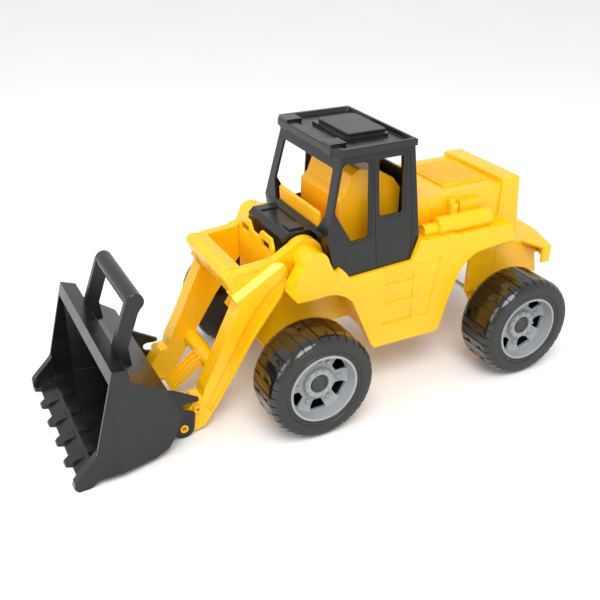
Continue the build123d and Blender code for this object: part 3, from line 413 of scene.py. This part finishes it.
# each wheel's place, its side of the centre plane, and the turn of its tread in degrees
WHEELS = (("front_left", 1, 4.0), ("front_right", -1, 9.0), ("rear_left", 1, 11.0), ("rear_right", -1, 2.0))
for place, side, phase in WHEELS:
    low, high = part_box(f"tyre_{place}")
    axle_x = (low[0] + high[0]) / 2 / MM
    axle_z = (low[2] + high[2]) / 2 / MM
    tyre = treaded_tyre(f"treaded_tyre_{place}", axle_x, axle_z, side, phase)
    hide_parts(f"tyre_{place}")
    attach(tyre, f"wheel_{place}")
    lugs = lug_ring(f"lug_bolts_{place}", axle_x, axle_z, side)
    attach(lugs, f"wheel_{place}")


# ------------------------------------------------------------------ ventilation mesh on the bonnet
VENT_X = (-214.5, -158.5)
VENT_Y = (-34.5, 34.5)
VENT_Z = 220.9
VENT_PITCH = 2.3
VENT_BAR = 0.95
CROSS_BAR_HEIGHT = 0.75
LONG_BAR_HEIGHT = 0.7
count_x = int((VENT_X[1] - VENT_X[0]) / VENT_PITCH)
count_y = int((VENT_Y[1] - VENT_Y[0]) / VENT_PITCH)
far_x = VENT_X[0] + count_x * VENT_PITCH + VENT_BAR
far_y = VENT_Y[0] + count_y * VENT_PITCH + VENT_BAR
vent_bars = []
for k in range(count_x + 1):
    x = VENT_X[0] + k * VENT_PITCH
    vent_bars.append(bar(x, x + VENT_BAR, VENT_Y[0], far_y, VENT_Z, VENT_Z + CROSS_BAR_HEIGHT))
for k in range(count_y + 1):
    y = VENT_Y[0] + k * VENT_PITCH
    vent_bars.append(bar(VENT_X[0], far_x, y, y + VENT_BAR, VENT_Z, VENT_Z + LONG_BAR_HEIGHT))
vent = mesh_piece("bonnet_vent_mesh", *merge(vent_bars), [YELLOW])
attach(vent, "chassis")


# ------------------------------------------------------------------ stage
FLOOR_HALF_SIZE = 6.0
FLOOR_DROP = 0.0002
SENSOR_WIDTH = 36.0
LENS = 48.7
CAMERA_PLACE = (0.4008, 0.7436, 0.5498)
CAMERA_AIM = (-0.40875, -0.77748, -0.47796)
CAMERA_ROLL = math.radians(0.57)
LIGHT_TARGET = (0, 0, 0.1)
WORLD_STRENGTH = 0.88


def stage_floor():
    """A plain pale floor just below the wheels."""
    mesh = bpy.data.meshes.new("floor")
    bm = bmesh.new()
    bmesh.ops.create_grid(bm, x_segments=4, y_segments=4, size=FLOOR_HALF_SIZE)
    bm.to_mesh(mesh)
    bm.free()
    floor = bpy.data.objects.new("floor", mesh)
    floor.location = (0, 0, -FLOOR_DROP)
    bpy.context.collection.objects.link(floor)
    mat, tree, bsdf = new_material("floor_white")
    coords = tree.nodes.new("ShaderNodeTexCoord").outputs["Object"]
    shade = noise(tree, coords, scale=3.0)
    color = mix_color(tree, ramp(tree, shade, 0.3, 0.7, 0.0, 1.0), (0.93, 0.93, 0.93), (0.95, 0.95, 0.95))
    tree.links.new(color, bsdf.inputs["Base Color"])
    bsdf.inputs["Roughness"].default_value = 0.9
    bsdf.inputs["Specular IOR Level"].default_value = 0.1
    mesh.materials.append(mat)


def area_light(name, location, size, power):
    """A square white light of a size in metres and a power in watts, aimed at the object's middle."""
    data = bpy.data.lights.new(name, "AREA")
    data.shape = "RECTANGLE"
    data.size, data.size_y = size, size
    data.energy = power
    light = bpy.data.objects.new(name, data)
    light.location = location
    direction = Vector(LIGHT_TARGET) - Vector(location)
    light.rotation_euler = direction.to_track_quat("-Z", "Y").to_euler()
    bpy.context.collection.objects.link(light)


def camera():
    """Camera in front of the object, to its left and above it."""
    data = bpy.data.cameras.new("camera")
    data.sensor_width = SENSOR_WIDTH
    data.lens = LENS
    data.clip_start = 0.01
    cam = bpy.data.objects.new("camera", data)
    aim = Vector(CAMERA_AIM).normalized().to_track_quat("-Z", "Y")
    cam.rotation_mode = "QUATERNION"
    cam.rotation_quaternion = aim @ Matrix.Rotation(CAMERA_ROLL, 3, "Z").to_quaternion()
    cam.location = CAMERA_PLACE
    bpy.context.collection.objects.link(cam)
    bpy.context.scene.camera = cam


def world():
    """Even white light from all round, shown without a film curve."""
    scene = bpy.context.scene
    scene.world = bpy.data.worlds.new("studio")
    scene.world.use_nodes = True
    tree = scene.world.node_tree
    tree.nodes.clear()
    out = tree.nodes.new("ShaderNodeOutputWorld")
    back = tree.nodes.new("ShaderNodeBackground")
    back.inputs["Color"].default_value = (1.0, 1.0, 1.0, 1.0)
    back.inputs["Strength"].default_value = WORLD_STRENGTH
    tree.links.new(back.outputs[0], out.inputs[0])
    scene.view_settings.view_transform = "Standard"


stage_floor()
world()
area_light("key", location=(0.5, 1.2, 1.9), size=1.2, power=30)
area_light("fill", location=(1.6, 0.2, 0.9), size=1.0, power=8)
camera()
